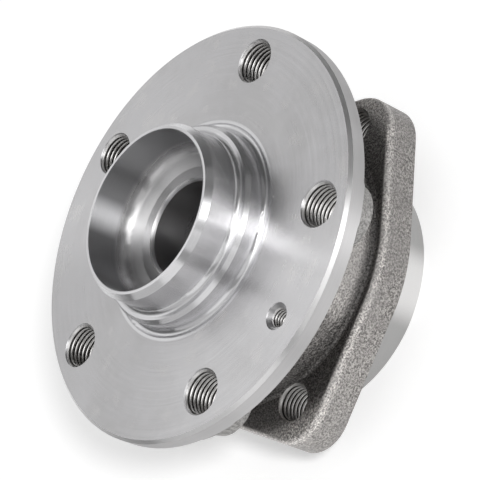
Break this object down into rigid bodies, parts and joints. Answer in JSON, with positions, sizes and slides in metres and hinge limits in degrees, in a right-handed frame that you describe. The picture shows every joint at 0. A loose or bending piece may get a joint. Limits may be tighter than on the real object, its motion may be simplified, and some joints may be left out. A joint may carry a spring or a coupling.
{
  "type": "wheel hub bearing",
  "caption": "Driven-axle wheel hub bearing: a flanged hub with a wheel pilot and threaded bolt holes turns on caged ball rows in an outer ring with a lobed knuckle flange.",
  "frame": {"origin": "centre of the wheel bolt circle on the face that the brake disc and wheel bolt to", "axes": "+Z along the spin axis towards the wheel, +X through one wheel bolt hole; the part stands on the flat end of its knuckle spigot"},
  "size_m": [0.1358, 0.1358, 0.0816],
  "materials": {
    "hub_steel": "turned bare steel",
    "forged_steel": "blasted forging with turned spigot",
    "bearing_steel": "ground bearing steel",
    "ball_steel": "polished",
    "seal_steel": "pressed sheet",
    "seal_rubber": "matt",
    "encoder_rubber": "satin magnetised rubber",
    "cage_polyamide": "glass-filled moulding"
  },
  "bodies": {
    "outer_ring_set": {"outer_ring": "forged_steel", "outboard_seal_case": "seal_steel", "outboard_seal_lip": "seal_rubber", "inboard_seal_case": "seal_steel", "inboard_seal_lip": "seal_rubber"},
    "hub_set": {"wheel_hub": "hub_steel", "inboard_inner_ring": "bearing_steel", "inboard_slinger": "seal_steel", "magnetic_encoder_ring": "encoder_rubber"},
    "outboard_ball_row": {"outboard_cage": "cage_polyamide"},
    "inboard_ball_row": {"inboard_cage": "cage_polyamide"},
    "outboard_ball_01_set": {"outboard_ball_01": "ball_steel"},
    "outboard_ball_02_set": {"outboard_ball_02": "ball_steel"},
    "outboard_ball_03_set": {"outboard_ball_03": "ball_steel"},
    "outboard_ball_04_set": {"outboard_ball_04": "ball_steel"},
    "outboard_ball_05_set": {"outboard_ball_05": "ball_steel"},
    "outboard_ball_06_set": {"outboard_ball_06": "ball_steel"},
    "outboard_ball_07_set": {"outboard_ball_07": "ball_steel"},
    "outboard_ball_08_set": {"outboard_ball_08": "ball_steel"},
    "outboard_ball_09_set": {"outboard_ball_09": "ball_steel"},
    "outboard_ball_10_set": {"outboard_ball_10": "ball_steel"},
    "outboard_ball_11_set": {"outboard_ball_11": "ball_steel"},
    "outboard_ball_12_set": {"outboard_ball_12": "ball_steel"},
    "outboard_ball_13_set": {"outboard_ball_13": "ball_steel"},
    "outboard_ball_14_set": {"outboard_ball_14": "ball_steel"},
    "inboard_ball_01_set": {"inboard_ball_01": "ball_steel"},
    "inboard_ball_02_set": {"inboard_ball_02": "ball_steel"},
    "inboard_ball_03_set": {"inboard_ball_03": "ball_steel"},
    "inboard_ball_04_set": {"inboard_ball_04": "ball_steel"},
    "inboard_ball_05_set": {"inboard_ball_05": "ball_steel"},
    "inboard_ball_06_set": {"inboard_ball_06": "ball_steel"},
    "inboard_ball_07_set": {"inboard_ball_07": "ball_steel"},
    "inboard_ball_08_set": {"inboard_ball_08": "ball_steel"},
    "inboard_ball_09_set": {"inboard_ball_09": "ball_steel"},
    "inboard_ball_10_set": {"inboard_ball_10": "ball_steel"},
    "inboard_ball_11_set": {"inboard_ball_11": "ball_steel"},
    "inboard_ball_12_set": {"inboard_ball_12": "ball_steel"},
    "inboard_ball_13_set": {"inboard_ball_13": "ball_steel"},
    "inboard_ball_14_set": {"inboard_ball_14": "ball_steel"}
  },
  "joints": [
    {"name": "hub_spin", "type": "hinge", "parent": "outer_ring_set", "child": "hub_set", "pos_m": [0, 0, 0], "axis": [0, 0, 1], "continuous": true},
    {"name": "outboard_row_orbit", "type": "hinge", "parent": "outer_ring_set", "child": "outboard_ball_row", "pos_m": [0, 0, -0.0275], "axis": [0, 0, 1], "continuous": true},
    {"name": "inboard_row_orbit", "type": "hinge", "parent": "outer_ring_set", "child": "inboard_ball_row", "pos_m": [0, 0, -0.048], "axis": [0, 0, 1], "continuous": true},
    {"name": "outboard_ball_01_roll", "type": "hinge", "parent": "outboard_ball_row", "child": "outboard_ball_01_set", "pos_m": [0.0312, 0, -0.0275], "axis": [0.6157, 0, 0.788], "continuous": true},
    {"name": "outboard_ball_02_roll", "type": "hinge", "parent": "outboard_ball_row", "child": "outboard_ball_02_set", "pos_m": [0.02811, 0.01354, -0.0275], "axis": [0.5547, 0.2671, 0.788], "continuous": true},
    {"name": "outboard_ball_03_roll", "type": "hinge", "parent": "outboard_ball_row", "child": "outboard_ball_03_set", "pos_m": [0.01945, 0.02439, -0.0275], "axis": [0.3839, 0.4813, 0.788], "continuous": true},
    {"name": "outboard_ball_04_roll", "type": "hinge", "parent": "outboard_ball_row", "child": "outboard_ball_04_set", "pos_m": [0.00694, 0.03042, -0.0275], "axis": [0.137, 0.6002, 0.788], "continuous": true},
    {"name": "outboard_ball_05_roll", "type": "hinge", "parent": "outboard_ball_row", "child": "outboard_ball_05_set", "pos_m": [-0.00694, 0.03042, -0.0275], "axis": [-0.137, 0.6002, 0.788], "continuous": true},
    {"name": "outboard_ball_06_roll", "type": "hinge", "parent": "outboard_ball_row", "child": "outboard_ball_06_set", "pos_m": [-0.01945, 0.02439, -0.0275], "axis": [-0.3839, 0.4813, 0.788], "continuous": true},
    {"name": "outboard_ball_07_roll", "type": "hinge", "parent": "outboard_ball_row", "child": "outboard_ball_07_set", "pos_m": [-0.02811, 0.01354, -0.0275], "axis": [-0.5547, 0.2671, 0.788], "continuous": true},
    {"name": "outboard_ball_08_roll", "type": "hinge", "parent": "outboard_ball_row", "child": "outboard_ball_08_set", "pos_m": [-0.0312, 0, -0.0275], "axis": [-0.6157, 0, 0.788], "continuous": true},
    {"name": "outboard_ball_09_roll", "type": "hinge", "parent": "outboard_ball_row", "child": "outboard_ball_09_set", "pos_m": [-0.02811, -0.01354, -0.0275], "axis": [-0.5547, -0.2671, 0.788], "continuous": true},
    {"name": "outboard_ball_10_roll", "type": "hinge", "parent": "outboard_ball_row", "child": "outboard_ball_10_set", "pos_m": [-0.01945, -0.02439, -0.0275], "axis": [-0.3839, -0.4813, 0.788], "continuous": true},
    {"name": "outboard_ball_11_roll", "type": "hinge", "parent": "outboard_ball_row", "child": "outboard_ball_11_set", "pos_m": [-0.00694, -0.03042, -0.0275], "axis": [-0.137, -0.6002, 0.788], "continuous": true},
    {"name": "outboard_ball_12_roll", "type": "hinge", "parent": "outboard_ball_row", "child": "outboard_ball_12_set", "pos_m": [0.00694, -0.03042, -0.0275], "axis": [0.137, -0.6002, 0.788], "continuous": true},
    {"name": "outboard_ball_13_roll", "type": "hinge", "parent": "outboard_ball_row", "child": "outboard_ball_13_set", "pos_m": [0.01945, -0.02439, -0.0275], "axis": [0.3839, -0.4813, 0.788], "continuous": true},
    {"name": "outboard_ball_14_roll", "type": "hinge", "parent": "outboard_ball_row", "child": "outboard_ball_14_set", "pos_m": [0.02811, -0.01354, -0.0275], "axis": [0.5547, -0.2671, 0.788], "continuous": true},
    {"name": "inboard_ball_01_roll", "type": "hinge", "parent": "inboard_ball_row", "child": "inboard_ball_01_set", "pos_m": [0.03042, 0.00694, -0.048], "axis": [-0.6002, -0.137, 0.788], "continuous": true},
    {"name": "inboard_ball_02_roll", "type": "hinge", "parent": "inboard_ball_row", "child": "inboard_ball_02_set", "pos_m": [0.02439, 0.01945, -0.048], "axis": [-0.4813, -0.3839, 0.788], "continuous": true},
    {"name": "inboard_ball_03_roll", "type": "hinge", "parent": "inboard_ball_row", "child": "inboard_ball_03_set", "pos_m": [0.01354, 0.02811, -0.048], "axis": [-0.2671, -0.5547, 0.788], "continuous": true},
    {"name": "inboard_ball_04_roll", "type": "hinge", "parent": "inboard_ball_row", "child": "inboard_ball_04_set", "pos_m": [0, 0.0312, -0.048], "axis": [0, -0.6157, 0.788], "continuous": true},
    {"name": "inboard_ball_05_roll", "type": "hinge", "parent": "inboard_ball_row", "child": "inboard_ball_05_set", "pos_m": [-0.01354, 0.02811, -0.048], "axis": [0.2671, -0.5547, 0.788], "continuous": true},
    {"name": "inboard_ball_06_roll", "type": "hinge", "parent": "inboard_ball_row", "child": "inboard_ball_06_set", "pos_m": [-0.02439, 0.01945, -0.048], "axis": [0.4813, -0.3839, 0.788], "continuous": true},
    {"name": "inboard_ball_07_roll", "type": "hinge", "parent": "inboard_ball_row", "child": "inboard_ball_07_set", "pos_m": [-0.03042, 0.00694, -0.048], "axis": [0.6002, -0.137, 0.788], "continuous": true},
    {"name": "inboard_ball_08_roll", "type": "hinge", "parent": "inboard_ball_row", "child": "inboard_ball_08_set", "pos_m": [-0.03042, -0.00694, -0.048], "axis": [0.6002, 0.137, 0.788], "continuous": true},
    {"name": "inboard_ball_09_roll", "type": "hinge", "parent": "inboard_ball_row", "child": "inboard_ball_09_set", "pos_m": [-0.02439, -0.01945, -0.048], "axis": [0.4813, 0.3839, 0.788], "continuous": true},
    {"name": "inboard_ball_10_roll", "type": "hinge", "parent": "inboard_ball_row", "child": "inboard_ball_10_set", "pos_m": [-0.01354, -0.02811, -0.048], "axis": [0.2671, 0.5547, 0.788], "continuous": true},
    {"name": "inboard_ball_11_roll", "type": "hinge", "parent": "inboard_ball_row", "child": "inboard_ball_11_set", "pos_m": [0, -0.0312, -0.048], "axis": [0, 0.6157, 0.788], "continuous": true},
    {"name": "inboard_ball_12_roll", "type": "hinge", "parent": "inboard_ball_row", "child": "inboard_ball_12_set", "pos_m": [0.01354, -0.02811, -0.048], "axis": [-0.2671, 0.5547, 0.788], "continuous": true},
    {"name": "inboard_ball_13_roll", "type": "hinge", "parent": "inboard_ball_row", "child": "inboard_ball_13_set", "pos_m": [0.02439, -0.01945, -0.048], "axis": [-0.4813, 0.3839, 0.788], "continuous": true},
    {"name": "inboard_ball_14_roll", "type": "hinge", "parent": "inboard_ball_row", "child": "inboard_ball_14_set", "pos_m": [0.03042, -0.00694, -0.048], "axis": [-0.6002, 0.137, 0.788], "continuous": true}
  ],
  "couplings": [
    {"joint": "outboard_row_orbit", "follows": "hub_spin", "ratio": 0.42984},
    {"joint": "inboard_row_orbit", "follows": "hub_spin", "ratio": 0.42984},
    {"joint": "outboard_ball_01_roll", "follows": "hub_spin", "ratio": -2.7525},
    {"joint": "outboard_ball_02_roll", "follows": "hub_spin", "ratio": -2.7525},
    {"joint": "outboard_ball_03_roll", "follows": "hub_spin", "ratio": -2.7525},
    {"joint": "outboard_ball_04_roll", "follows": "hub_spin", "ratio": -2.7525},
    {"joint": "outboard_ball_05_roll", "follows": "hub_spin", "ratio": -2.7525},
    {"joint": "outboard_ball_06_roll", "follows": "hub_spin", "ratio": -2.7525},
    {"joint": "outboard_ball_07_roll", "follows": "hub_spin", "ratio": -2.7525},
    {"joint": "outboard_ball_08_roll", "follows": "hub_spin", "ratio": -2.7525},
    {"joint": "outboard_ball_09_roll", "follows": "hub_spin", "ratio": -2.7525},
    {"joint": "outboard_ball_10_roll", "follows": "hub_spin", "ratio": -2.7525},
    {"joint": "outboard_ball_11_roll", "follows": "hub_spin", "ratio": -2.7525},
    {"joint": "outboard_ball_12_roll", "follows": "hub_spin", "ratio": -2.7525},
    {"joint": "outboard_ball_13_roll", "follows": "hub_spin", "ratio": -2.7525},
    {"joint": "outboard_ball_14_roll", "follows": "hub_spin", "ratio": -2.7525},
    {"joint": "inboard_ball_01_roll", "follows": "hub_spin", "ratio": -2.7525},
    {"joint": "inboard_ball_02_roll", "follows": "hub_spin", "ratio": -2.7525},
    {"joint": "inboard_ball_03_roll", "follows": "hub_spin", "ratio": -2.7525},
    {"joint": "inboard_ball_04_roll", "follows": "hub_spin", "ratio": -2.7525},
    {"joint": "inboard_ball_05_roll", "follows": "hub_spin", "ratio": -2.7525},
    {"joint": "inboard_ball_06_roll", "follows": "hub_spin", "ratio": -2.7525},
    {"joint": "inboard_ball_07_roll", "follows": "hub_spin", "ratio": -2.7525},
    {"joint": "inboard_ball_08_roll", "follows": "hub_spin", "ratio": -2.7525},
    {"joint": "inboard_ball_09_roll", "follows": "hub_spin", "ratio": -2.7525},
    {"joint": "inboard_ball_10_roll", "follows": "hub_spin", "ratio": -2.7525},
    {"joint": "inboard_ball_11_roll", "follows": "hub_spin", "ratio": -2.7525},
    {"joint": "inboard_ball_12_roll", "follows": "hub_spin", "ratio": -2.7525},
    {"joint": "inboard_ball_13_roll", "follows": "hub_spin", "ratio": -2.7525},
    {"joint": "inboard_ball_14_roll", "follows": "hub_spin", "ratio": -2.7525}
  ]
}
